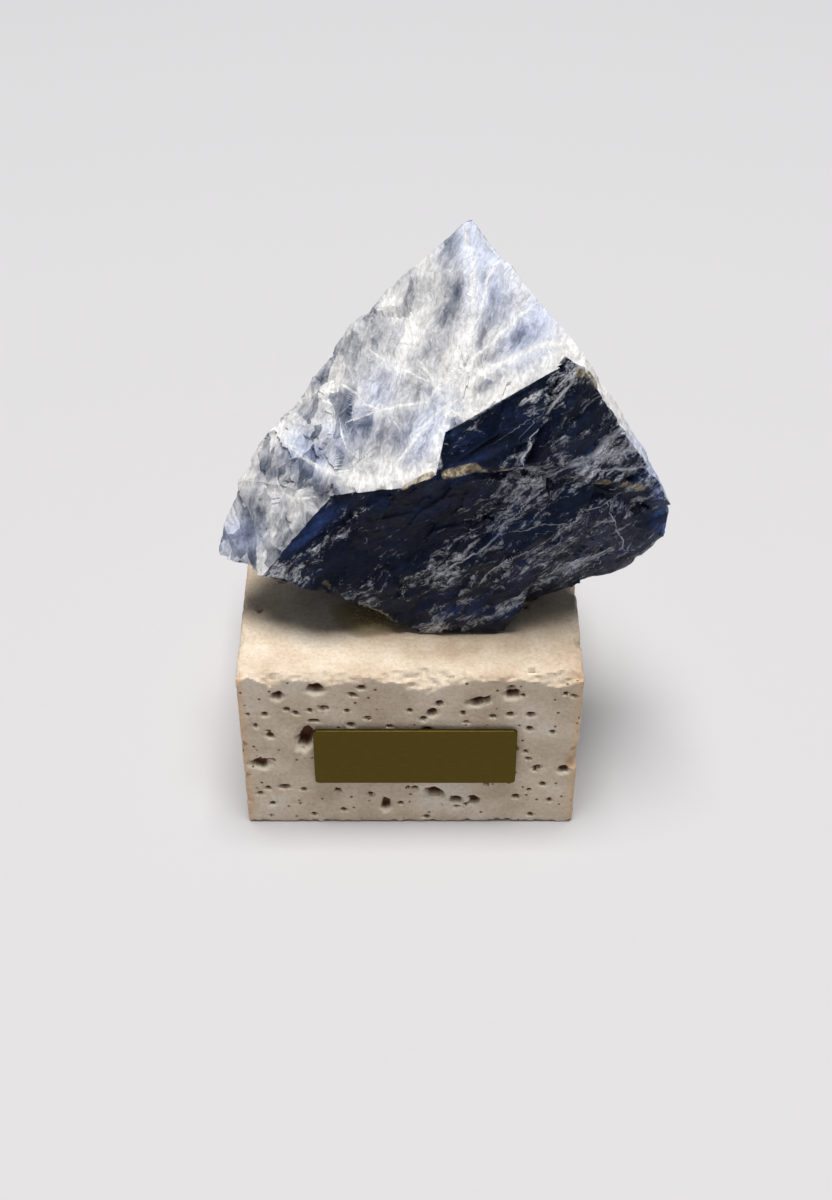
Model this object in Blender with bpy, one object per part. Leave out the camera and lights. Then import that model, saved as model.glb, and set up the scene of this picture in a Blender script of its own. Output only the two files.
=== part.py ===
"""A rough piece of sodalite glued on a small block of pitted travertine that bears a bare label plate.

Millimetres throughout, turned into metres as each mesh is made. +X is right, +Y is back, +Z is up.
The origin is the middle of the block's underside.
"""

import math

import bmesh
import bpy
import numpy as np
from mathutils import Matrix, Vector, noise

MM = 0.001
GAP = 0.3

BLOCK_WIDTH = 40.0
BLOCK_DEPTH = 40.0
BLOCK_HEIGHT = 25.0
BLOCK_ARRIS = 0.5

PLATE_WIDTH = 24.0
PLATE_HEIGHT = 9.0
PLATE_THICKNESS = 0.4
PLATE_CORNER = 0.45
PLATE_CENTRE_X = 0.6
PLATE_CENTRE_Z = 12.4

# The stone is a star-shaped solid: each break is a flat plane seen from one point inside it.
STONE_HEART = np.array([3.0, -2.0, BLOCK_HEIGHT + 19.0])
STONE_SUBDIVISIONS = 5
STONE_ROUGHNESS = 0.22
STONE_GRAIN = 0.35
STONE_NOISE_FALL = 0.9
STONE_NOISE_STEP = 2.0
STONE_NOISE_OCTAVES = 4

# Each break: the way it faces (azimuth, elevation in degrees) and its distance from the heart.
BREAKS = {
    "frosted_slope": (-124.0, 41.0, 11.0),
    "lower_slope": (-120.5, 25.5, 12.7),
    "left_top": (132.5, 31.0, 15.7),
    "left_middle": (143.5, 22.0, 14.3),
    "left_lower": (155.5, 11.0, 18.0),
    "left_tip": (175.0, 7.5, 22.7),
    "right_top": (26.5, 28.5, 17.6),
    "right_bevel": (-22.5, 27.5, 23.8),
    "right_shoulder": (15.5, 29.0, 20.5),
    "right_side": (9.5, 21.5, 22.0),
    "right_tip": (2.5, 1.0, 25.5),
    "right_underside": (-8.0, -36.0, 25.7),
    "lobe_underside": (-140.0, -56.5, 22.3),
    "base": (0.0, -90.0, 19.0 - GAP),
    "back": (80.0, 5.0, 14.0),
    "back_top": (100.0, 38.0, 21.2),
    "back_right": (45.0, -9.0, 18.5),
    "back_left": (130.0, -20.0, 15.0),
    "back_foot": (66.0, -38.0, 15.0),
    "upper_front": (-109.0, 28.0, 11.3),
    "upper_undercut": (-88.0, -38.0, 5.8),
    "upper_right": (0.0, -20.0, 6.2),
    "left_front": (-81.0, 12.5, 7.3),
    "left_underside": (-142.5, -80.0, 14.0),
    "centre_front": (-90.0, -7.0, 11.1),
    "centre_left": (-108.5, 6.0, 12.4),
    "centre_bulge": (-96.5, -3.0, 12.0),
    "centre_right": (-20.0, 20.0, 15.2),
    "ledge": (-85.0, 39.5, 12.5),
    "right_crease": (-127.0, 25.5, 6.1),
    "right_front": (-73.5, 5.5, 15.2),
    "right_undercut": (-90.0, -24.0, 8.0),
    "low_top": (-101.5, 18.0, 8.2),
    "low_right": (-62.0, 14.0, 16.8),
    "low_front": (-77.5, -15.5, 14.2),
    "low_foot": (-85.0, -5.5, 13.1),
    "low_underside": (17.5, -70.0, 17.8),
    "foot_left": (-179.0, -59.5, 17.2),
    "foot_right": (0.0, -22.5, 14.6),
    "foot_front": (-90.0, -6.0, 12.7),
    "blue_strip": (-106.0, 17.5, 11.6),
}
OUTER_BREAKS = (
    "frosted_slope", "lower_slope", "left_top", "left_middle", "left_lower", "left_tip",
    "right_top", "right_bevel", "right_shoulder", "right_side", "right_tip", "right_underside", "lobe_underside",
    "base", "back", "back_top", "back_right", "back_left", "back_foot",
)
# Each lump of the stone lies inside the outer breaks and its own.
LUMPS = {
    "crown": ("upper_front", "upper_undercut", "upper_right"),
    "left": ("left_front", "blue_strip", "left_underside", "low_underside", "foot_right"),
    "centre": (
        "centre_front", "centre_left", "centre_bulge", "ledge", "centre_right",
        "left_underside", "low_underside", "low_front",
    ),
    "right": ("right_crease", "right_front", "right_undercut"),
    "low": (
        "low_top", "low_right", "centre_left", "low_front", "low_foot", "low_underside",
        "centre_bulge", "foot_left",
    ),
    "foot": (
        "low_top", "centre_left", "centre_bulge", "low_foot", "foot_right", "foot_left",
        "foot_front", "ledge",
    ),
}

PORE_ROUGHNESS = 0.2
PORE_GRAIN = 1.3
# Open pores of the travertine: place across the face, height, width, height of the mouth, depth, turn.
FRONT_PORES = (
    (-10.9, 23.0, 2.1, 1.5, 1.2, 0.0),
    (-15.4, 21.9, 1.6, 1.2, 0.9, 10.0),
    (-12.4, 14.7, 1.8, 4.2, 1.6, -15.0),
    (-18.0, 10.5, 2.6, 1.5, 0.9, 0.0),
    (-15.2, 6.4, 1.5, 0.8, 0.7, 0.0),
    (2.6, 19.2, 1.5, 1.2, 0.9, 25.0),
    (8.1, 21.1, 3.0, 1.3, 1.2, 15.0),
    (11.9, 22.2, 2.0, 1.5, 1.1, 0.0),
    (2.9, 5.2, 2.4, 1.8, 1.3, -20.0),
    (5.6, 3.9, 1.5, 1.3, 1.0, 0.0),
    (7.9, 3.7, 1.5, 1.3, 1.0, 20.0),
    (-3.0, 3.0, 1.3, 2.2, 1.0, 0.0),
    (18.4, 9.4, 1.5, 1.3, 0.8, 0.0),
)
SIDE_PORES = (
    (-13.0, 19.5, 3.0, 1.6, 1.3, 12.0),
    (-4.5, 6.5, 2.0, 2.8, 1.4, -10.0),
    (3.5, 17.0, 2.4, 1.2, 1.0, 5.0),
    (9.5, 4.5, 1.6, 1.4, 1.0, 0.0),
    (14.5, 13.0, 3.4, 1.5, 1.4, -8.0),
    (-16.0, 10.0, 1.5, 1.2, 0.9, 0.0),
)
TOP_PORES = (
    (14.5, -6.0, 2.2, 1.3, 0.7, 20.0),
    (-15.5, -3.0, 1.6, 1.2, 0.6, 0.0),
    (-12.0, 14.0, 2.6, 1.6, 0.9, -30.0),
    (10.5, 15.5, 1.8, 2.4, 0.9, 0.0),
)

GLUE_CENTRE = (-4.2, -9.6, BLOCK_HEIGHT + GAP)
GLUE_SIZE = (11.5, 6.4, 2.6)


def linear(hex_colour):
    """A colour as written on the web, as linear red, green and blue."""
    channels = [int(hex_colour[i : i + 2], 16) / 255 for i in (0, 2, 4)]
    return [c / 12.92 if c <= 0.04045 else ((c + 0.055) / 1.055) ** 2.4 for c in channels]


def material(name, hex_colour, roughness, metallic=0.0, alpha=1.0):
    mat = bpy.data.materials.new(name)
    mat.use_nodes = True
    shader = mat.node_tree.nodes["Principled BSDF"]
    shader.inputs["Base Color"].default_value = (*linear(hex_colour), 1.0)
    shader.inputs["Roughness"].default_value = roughness
    shader.inputs["Metallic"].default_value = metallic
    shader.inputs["Alpha"].default_value = alpha
    return mat


def add_object(name, bm, mat, collection):
    """A mesh drawn in millimetres, as an object in metres."""
    bmesh.ops.scale(bm, vec=(MM, MM, MM), verts=bm.verts)
    bmesh.ops.recalc_face_normals(bm, faces=bm.faces)
    mesh = bpy.data.meshes.new(name)
    bm.to_mesh(mesh)
    bm.free()
    mesh.materials.append(mat)
    ob = bpy.data.objects.new(name, mesh)
    collection.objects.link(ob)
    return ob


def cut(ob, cutter):
    """Takes the cutter's volume away from ob."""
    cutter.hide_render = True
    cutter.display_type = "WIRE"
    mod = ob.modifiers.new("cut", "BOOLEAN")
    mod.operation = "DIFFERENCE"
    mod.solver = "EXACT"
    mod.object = cutter


def facing(azimuth, elevation):
    a, e = math.radians(azimuth), math.radians(elevation)
    return math.cos(e) * math.cos(a), math.cos(e) * math.sin(a), math.sin(e)


BREAK_NAMES = list(BREAKS)
NORMALS = np.array([facing(*BREAKS[name][:2]) for name in BREAK_NAMES])
DISTANCES = np.array([BREAKS[name][2] for name in BREAK_NAMES])


def reach(directions):
    """How far the stone goes from its heart along each direction, and which break ends it."""
    along = directions @ NORMALS.T
    limit = np.where(along > 1e-6, DISTANCES / np.maximum(along, 1e-6), np.inf)
    best = np.zeros(len(directions))
    which = np.zeros(len(directions), int)
    for own in LUMPS.values():
        columns = np.array([BREAK_NAMES.index(name) for name in OUTER_BREAKS + own])
        nearest = limit[:, columns].argmin(1)
        length = limit[np.arange(len(directions)), columns[nearest]]
        longer = length > best
        best[longer] = length[longer]
        which[longer] = columns[nearest][longer]
    return best, which


def snap_to_creases(directions, edges):
    """Moves the directions nearest a crease between two breaks onto it, so that its edge is sharp."""
    _, which = reach(directions)
    first, second = edges[:, 0], edges[:, 1]
    a, b = which[first], which[second]
    crossing = a != b
    first, second, a, b = first[crossing], second[crossing], a[crossing], b[crossing]
    tie = DISTANCES[a, None] * NORMALS[b] - DISTANCES[b, None] * NORMALS[a]
    side_first = (tie * directions[first]).sum(1)
    side_second = (tie * directions[second]).sum(1)
    share = side_first / np.where(side_first == side_second, 1.0, side_first - side_second)
    inside = (share > 0.0) & (share < 1.0)
    first, second, share = first[inside], second[inside], share[inside]
    point = directions[first] + share[:, None] * (directions[second] - directions[first])
    moved = directions.copy()
    nearest = np.full(len(directions), np.inf)
    owner = np.where(share < 0.5, first, second)
    distance = np.linalg.norm(point - directions[owner], axis=1)
    for vertex, place, far in zip(owner, point, distance):
        if far < nearest[vertex]:
            nearest[vertex] = far
            moved[vertex] = place
    return moved / np.linalg.norm(moved, axis=1)[:, None]


def unevenness(point):
    """How far the broken face stands out from its flat plane at a point."""
    return STONE_ROUGHNESS * noise.fractal(
        point * STONE_GRAIN, STONE_NOISE_FALL, STONE_NOISE_STEP, STONE_NOISE_OCTAVES
    )


def stone_mesh(grown=0.0):
    """An icosphere whose every vertex goes out to the nearest break of the longest lump."""
    bm = bmesh.new()
    bmesh.ops.create_icosphere(bm, subdivisions=STONE_SUBDIVISIONS, radius=1.0)
    bm.verts.ensure_lookup_table()
    directions = np.array([vert.co for vert in bm.verts])
    directions /= np.linalg.norm(directions, axis=1)[:, None]
    edges = np.array([[vert.index for vert in edge.verts] for edge in bm.edges])
    directions = snap_to_creases(directions, edges)
    lengths, which = reach(directions)
    base = BREAK_NAMES.index("base")
    for vert, direction, length, ended_by in zip(bm.verts, directions, lengths, which):
        point = Vector(direction) * (length + grown)
        rough = 0.0 if ended_by == base else unevenness(point)
        vert.co = Vector(STONE_HEART) + point + Vector(direction) * rough
        vert.co.z = max(vert.co.z, BLOCK_HEIGHT + GAP - grown)
    return bm


def make_stone(collection):
    add_object("sodalite", stone_mesh(), material("sodalite", "4A5573", 0.45), collection)


def add_pore(bm, place, size):
    """A pore's hollow: a rounded lump, a little uneven."""
    shape = place @ Matrix.Diagonal((*size, 1.0))
    lump = bmesh.ops.create_icosphere(bm, subdivisions=2, radius=0.5, matrix=shape)
    for vert in lump["verts"]:
        outwards = (vert.co - place.translation).normalized()
        vert.co += outwards * noise.noise(vert.co * PORE_GRAIN) * PORE_ROUGHNESS


def pore_places():
    """Every pore's place on the block and its size, face by face."""
    half_depth = BLOCK_DEPTH / 2
    half_width = BLOCK_WIDTH / 2
    faces = (
        (FRONT_PORES, Matrix.Translation((0, -half_depth, 0))),
        (SIDE_PORES, Matrix.Translation((half_width, 0, 0)) @ Matrix.Rotation(math.pi / 2, 4, "Z")),
        (SIDE_PORES, Matrix.Rotation(math.pi, 4, "Z") @ Matrix.Translation((0, -half_depth, 0))),
        (FRONT_PORES[3:], Matrix.Translation((-half_width, 0, 0)) @ Matrix.Rotation(-math.pi / 2, 4, "Z")),
    )
    for pores, face in faces:
        for across, up, width, height, depth, turn in pores:
            spin = Matrix.Rotation(math.radians(turn), 4, "Y")
            yield face @ Matrix.Translation((across, 0, up)) @ spin, (width, 2 * depth, height)
    for across, back, width, length, depth, turn in TOP_PORES:
        spin = Matrix.Rotation(math.radians(turn), 4, "Z")
        yield Matrix.Translation((across, back, BLOCK_HEIGHT)) @ spin, (width, length, 2 * depth)


def make_block(collection, cutters):
    bm = bmesh.new()
    size = Matrix.Diagonal((BLOCK_WIDTH, BLOCK_DEPTH, BLOCK_HEIGHT, 1.0))
    bmesh.ops.create_cube(bm, size=1.0, matrix=Matrix.Translation((0, 0, BLOCK_HEIGHT / 2)) @ size)
    bmesh.ops.bevel(bm, geom=bm.edges, offset=BLOCK_ARRIS, segments=2, profile=0.6, affect="EDGES")
    stone = material("travertine", "D9C4A9", 0.75)
    block = add_object("travertine_block", bm, stone, collection)
    hollows = bmesh.new()
    for place, size in pore_places():
        add_pore(hollows, place, size)
    cut(block, add_object("pores", hollows, stone, cutters))


def make_plate(collection):
    bm = bmesh.new()
    size = Matrix.Diagonal((PLATE_WIDTH, PLATE_THICKNESS, PLATE_HEIGHT, 1.0))
    front = -BLOCK_DEPTH / 2 - GAP - PLATE_THICKNESS / 2
    bmesh.ops.create_cube(bm, size=1.0, matrix=Matrix.Translation((PLATE_CENTRE_X, front, PLATE_CENTRE_Z)) @ size)
    corners = [e for e in bm.edges if abs(e.verts[0].co.y - e.verts[1].co.y) > PLATE_THICKNESS / 2]
    bmesh.ops.bevel(bm, geom=corners, offset=PLATE_CORNER, segments=6, profile=0.5, affect="EDGES")
    add_object("label_plate", bm, material("dark gilt", "5A4B22", 0.35, metallic=1.0), collection)


def make_glue(collection, cutters):
    """The bead squeezed out from under the foot: a flattened lump, flat below, cut back from the stone."""
    bm = bmesh.new()
    size = Matrix.Diagonal((*GLUE_SIZE, 1.0))
    bmesh.ops.create_icosphere(bm, subdivisions=4, radius=0.5, matrix=Matrix.Translation(GLUE_CENTRE) @ size)
    everything = list(bm.verts) + list(bm.edges) + list(bm.faces)
    cut_plane = bmesh.ops.bisect_plane(
        bm, geom=everything, plane_co=GLUE_CENTRE, plane_no=(0, 0, -1), clear_outer=True
    )
    rim = [part for part in cut_plane["geom_cut"] if isinstance(part, bmesh.types.BMEdge)]
    bmesh.ops.contextual_create(bm, geom=rim)
    clear = material("clear glue", "C9B878", 0.15, alpha=0.5)
    glue = add_object("adhesive", bm, clear, collection)
    cut(glue, add_object("stone_clearance", stone_mesh(grown=GAP), clear, cutters))


def main():
    for ob in list(bpy.data.objects):
        bpy.data.objects.remove(ob, do_unlink=True)
    collections = {}
    for name in ("rough_sodalite", "cutters"):
        collections[name] = bpy.data.collections.new(name)
        bpy.context.scene.collection.children.link(collections[name])
    whole = collections["rough_sodalite"]
    cutters = collections["cutters"]
    make_stone(whole)
    make_block(whole, cutters)
    make_plate(whole)
    make_glue(whole, cutters)


main()
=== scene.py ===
"""Rough sodalite glued on a small travertine display block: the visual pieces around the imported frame.

Lengths are millimetres, turned into metres as each mesh is made. +X is right, +Y is back, +Z is up.
"""

import functools
import itertools
import math

import bpy
import numpy as np
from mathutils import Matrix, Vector

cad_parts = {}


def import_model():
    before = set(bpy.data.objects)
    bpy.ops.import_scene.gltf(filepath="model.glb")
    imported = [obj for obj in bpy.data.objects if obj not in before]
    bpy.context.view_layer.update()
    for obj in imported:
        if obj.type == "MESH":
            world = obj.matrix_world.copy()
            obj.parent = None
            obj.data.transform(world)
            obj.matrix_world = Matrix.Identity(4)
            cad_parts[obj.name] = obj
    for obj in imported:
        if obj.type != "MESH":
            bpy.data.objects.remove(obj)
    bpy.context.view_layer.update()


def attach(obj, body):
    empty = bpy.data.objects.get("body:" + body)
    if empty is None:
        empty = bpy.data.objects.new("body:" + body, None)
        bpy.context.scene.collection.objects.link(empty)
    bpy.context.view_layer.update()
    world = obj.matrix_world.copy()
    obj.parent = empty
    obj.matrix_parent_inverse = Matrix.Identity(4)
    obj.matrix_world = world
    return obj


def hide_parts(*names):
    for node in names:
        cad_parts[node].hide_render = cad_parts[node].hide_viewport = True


MM = 0.001
TINY = 1e-6

GLUE_GAP = 0.3
BLOCK_HALF = 20.0
BLOCK_HEIGHT = 25.0
STONE_HEART = np.array([3.0, -2.0, 44.0])
STONE_FOOT = BLOCK_HEIGHT + GLUE_GAP
STONE_STEPS = 126

# Each break of the stone: the way it faces (azimuth, elevation in degrees) and its distance from the heart.
OUTER_BREAKS = {
    "frosted_slope": (-124, 41, 11),
    "lower_slope": (-120.5, 25.5, 12.7),
    "left_top": (132.5, 31, 15.7),
    "left_middle": (143.5, 22, 14.3),
    "left_lower": (155.5, 11, 18),
    "left_tip": (175, 7.5, 22.7),
    "right_top": (26.5, 28.5, 17.6),
    "right_bevel": (-22.5, 27.5, 23.8),
    "right_shoulder": (15.5, 29, 20.5),
    "right_side": (9.5, 21.5, 22),
    "right_tip": (2.5, 1, 25.5),
    "right_underside": (-8, -36, 25.7),
    "lobe_underside": (-140, -56.5, 22.3),
    "base": (0, -90, 18.7),
    "back": (80, 5, 14),
    "back_top": (100, 38, 21.2),
    "back_right": (45, -9, 18.5),
    "back_left": (130, -20, 15),
    "back_foot": (66, -38, 15),
}
OWN_BREAKS = {
    "upper_front": (-109, 28, 11.3),
    "upper_undercut": (-88, -38, 5.8),
    "upper_right": (0, -20, 6.2),
    "left_front": (-81, 12.5, 7.3),
    "left_underside": (-142.5, -80, 14),
    "centre_front": (-90, -7, 11.1),
    "centre_left": (-108.5, 6, 12.4),
    "centre_bulge": (-96.5, -3, 12),
    "centre_right": (-20, 20, 15.2),
    "ledge": (-85, 39.5, 12.5),
    "right_crease": (-127, 25.5, 6.1),
    "right_front": (-73.5, 5.5, 15.2),
    "right_undercut": (-90, -24, 8),
    "low_top": (-101.5, 18, 8.2),
    "low_right": (-62, 14, 16.8),
    "low_front": (-77.5, -15.5, 14.2),
    "low_foot": (-85, -5.5, 13.1),
    "low_underside": (17.5, -70, 17.8),
    "foot_left": (-179, -59.5, 17.2),
    "foot_right": (0, -22.5, 14.6),
    "foot_front": (-90, -6, 12.7),
    "blue_strip": (-106, 17.5, 11.6),
}
BREAKS = OUTER_BREAKS | OWN_BREAKS
# Each lump of the stone lies inside the outer breaks and its own.
LUMPS = {
    "crown": ("upper_front", "upper_undercut", "upper_right"),
    "left": ("left_front", "blue_strip", "left_underside", "low_underside", "foot_right"),
    "centre": ("centre_front", "centre_left", "centre_bulge", "ledge", "centre_right", "left_underside",
        "low_underside", "low_front"),
    "right": ("right_crease", "right_front", "right_undercut"),
    "low": ("low_top", "low_right", "centre_left", "low_front", "low_foot", "low_underside", "centre_bulge",
        "foot_left"),
    "foot": ("low_top", "centre_left", "centre_bulge", "low_foot", "foot_right", "foot_left", "foot_front",
        "ledge"),
}

# How frosted each break is, from 0 for a fresh glassy one to 1 for the old pale slope. The rest are fresh.
FROST = {
    "frosted_slope": 1, "lower_slope": 1, "left_top": 0.95, "left_middle": 0.9, "left_lower": 0.9,
    "left_tip": 0.85, "right_top": 1, "right_bevel": 1, "right_shoulder": 1, "right_side": 0.9,
    "back_top": 0.7, "back_left": 0.5,
}
# How far a fresh break is painted as lit up from inside, from 0 for nearly black to 1 for clear blue. The
# rest are 0.1.
BLUE = {
    "blue_strip": 0.2, "upper_front": 0.3, "low_right": 0.35, "right_front": 0.3, "right_tip": 0.8,
    "low_foot": 0.25, "foot_front": 0.25, "low_front": 0.2, "back": 0.4, "back_right": 0.6,
    "back_left": 0.5, "back_top": 0.6, "right_underside": 0.4,
}

# Thin white veins, by their half width and the points that each passes through. First those of the slope:
# the spine from the peak and its branches, the fan towards the right ridge, the rim above the fresh
# breaks and the seams of the lower left. Then those of the fresh breaks.
VEINS = (
    (0.26, (5.8, 5, 69.3), (6.2, 3, 67.5), (6.9, 1.5, 66.5), (6.7, -0.9, 64.2), (7, -2.7, 62.7),
     (6.5, -4, 61), (5.7, -5.1, 59.6), (5.1, -5.8, 58.5)),
    (0.16, (5.1, -5.8, 58.5), (5, -7, 57.2), (4.2, -8.6, 55.2), (3.9, -9.6, 53.9), (2.8, -11, 52),
     (3.4, -13.1, 50.2)),
    (0.18, (1.2, -4.3, 57.4), (2.4, -6, 56.5), (3.3, -7.6, 55.6), (4.2, -8.6, 55.2)),
    (0.3, (16.3, -9.8, 61.8), (13, -9.5, 60), (11, -9.5, 58.7), (9.7, -10.3, 57.1), (6.7, -10.6, 54.9),
     (3.9, -9.3, 54.2)),
    (0.3, (15.5, -8.5, 62.6), (13.9, -7.9, 62.1), (11, -7.8, 60.2), (9.2, -7.6, 59.2), (7.5, -7.6, 58.2),
     (5.7, -8, 56.7)),
    (0.2, (13.2, -4.4, 64.5), (11.9, -4.6, 63.9), (10.1, -5.3, 62.2), (8.6, -5.8, 60.7), (7, -6, 59.4),
     (6, -6.9, 58)),
    (0.16, (9.3, 0.2, 66.9), (8.3, -0.6, 65.4), (7.9, -2, 63.9), (7.4, -3.2, 62.4)),
    (0.16, (4.9, -8.8, 55.4), (3.3, -8.8, 54.4), (1.7, -9.4, 52.8), (0.1, -10.4, 50.8), (-2.9, -12.1, 47.3)),
    (0.28, (3.4, -13.1, 50.2), (2.2, -12.8, 49.9), (1, -13, 48.9), (-2.9, -12.1, 47.3), (-5.2, -11.4, 46.4)),
    (0.2, (-13.7, -4.7, 47.4), (-12.1, -6.5, 46.7), (-10.4, -8.2, 46.2), (-8.8, -9.2, 46.3),
     (-5.2, -11.4, 46.4)),
    (0.14, (-12.5, -1.8, 50.9), (-10, -2.1, 52.3), (-7.7, -2.4, 53.4), (-5.8, -4, 53.1), (-5.1, -5, 52.6),
     (-3.2, -6.4, 52.6)),
    (0.3, (-2.6, 2.1, 61), (-0.8, 1.1, 61.1), (0.4, -0.1, 60.9), (0.1, -1.2, 59.6), (-0.4, -2.2, 58.4)),
    (0.16, (-15, -7.9, 43.6), (-14.4, -8.7, 42.8), (-12.9, -9.6, 42.8), (-10.7, -10.4, 43.6)),
    (0.16, (-6.6, -5.9, 50.9), (-3.2, -6.4, 52.6), (-1, -6.7, 53.5), (1.7, -7.6, 54.5)),
    (0.14, (-4.4, -1, 56.8), (-2.1, -3.1, 56.3), (0, -4.6, 56.4), (1.8, -5.9, 56.2)),
    (0.13, (-8, -5.6, 50.4), (-6.8, -7.8, 48.5), (-4.6, -9.6, 47.8), (-1.6, -11, 48.8)),
    (0.15, (17.2, -11.5, 60.2), (16, -11.5, 58.4), (14.8, -11.8, 56.6), (13.3, -13, 54.6),
     (12.6, -13.2, 53.9), (12.8, -13.7, 53.2), (12, -14.2, 51.9), (11.4, -13.8, 50.1)),
    (0.34, (24, -10.8, 54.8), (22.8, -11, 53.7), (21.3, -11.6, 52.5), (20.2, -12.1, 51.1),
     (18.7, -12.6, 50.3), (17.1, -13.1, 50.2)),
    (0.14, (17.1, -13.1, 50.2), (15, -12.6, 48.3), (14, -13.5, 46.8), (12.7, -13.3, 45.3),
     (10.5, -12.9, 42.3), (9.9, -13.1, 40.9)),
    # Along the right edge the vein is painted wide. It is partly the vein and partly a painted highlight
    # where that edge catches the light.
    (0.6, (17.6, -11.3, 61.6), (18.3, -11.2, 61.9), (19.2, -11.3, 61.4), (20, -11.2, 60.1),
     (20.7, -11.1, 58.8), (21.5, -11, 57.3)),
    (0.36, (21.5, -11, 57.3), (22.4, -10.9, 55.9), (23.2, -10.8, 54.6), (24, -10.7, 53.2),
     (24.9, -10.6, 51.5), (25.9, -10.5, 49.5)),
    (0.24, (25.9, -10.6, 50.2), (23.4, -11.2, 50.9), (21.5, -11.8, 50.3), (19.7, -12.3, 50.5)),
    (0.2, (26.2, -10.9, 48), (23, -11.5, 48.5), (21.4, -12, 48.5), (19.6, -12.5, 49.1)),
    (0.09, (16.1, -12.7, 46.2), (14.5, -13.2, 44.3), (13.8, -13.2, 43.4)),
    (0.09, (22.1, -11.4, 44), (19.9, -12.6, 43.9), (18.8, -13.8, 44.2), (17.5, -13.8, 43),
     (15.4, -13.8, 42.5), (13.2, -13.6, 41.7), (11.1, -13.2, 41.4), (9.9, -13.3, 40.7), (8.5, -13.5, 39.1),
     (5.1, -13.6, 36.6), (2.8, -13.6, 34.4)),
    (0.08, (15.3, -13.8, 41), (13.3, -13.8, 38.8), (11.2, -13.8, 37.7), (9.4, -13.8, 36.1), (8.1, -13.7, 34)),
    (0.08, (22.1, -11.4, 44), (22.4, -11.7, 42.5), (23, -11.5, 40), (24.2, -10.5, 37.5), (24.2, -10, 35.7)),
    (0.08, (27.3, -9.8, 37.4), (25.8, -9.7, 35.9), (23.5, -9.9, 34.9), (22, -9.7, 33), (20.8, -9.7, 32)),
    (0.08, (12.2, -13, 55.6), (9.4, -13.4, 53.4), (7.4, -13.6, 52.6)),
)
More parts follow.
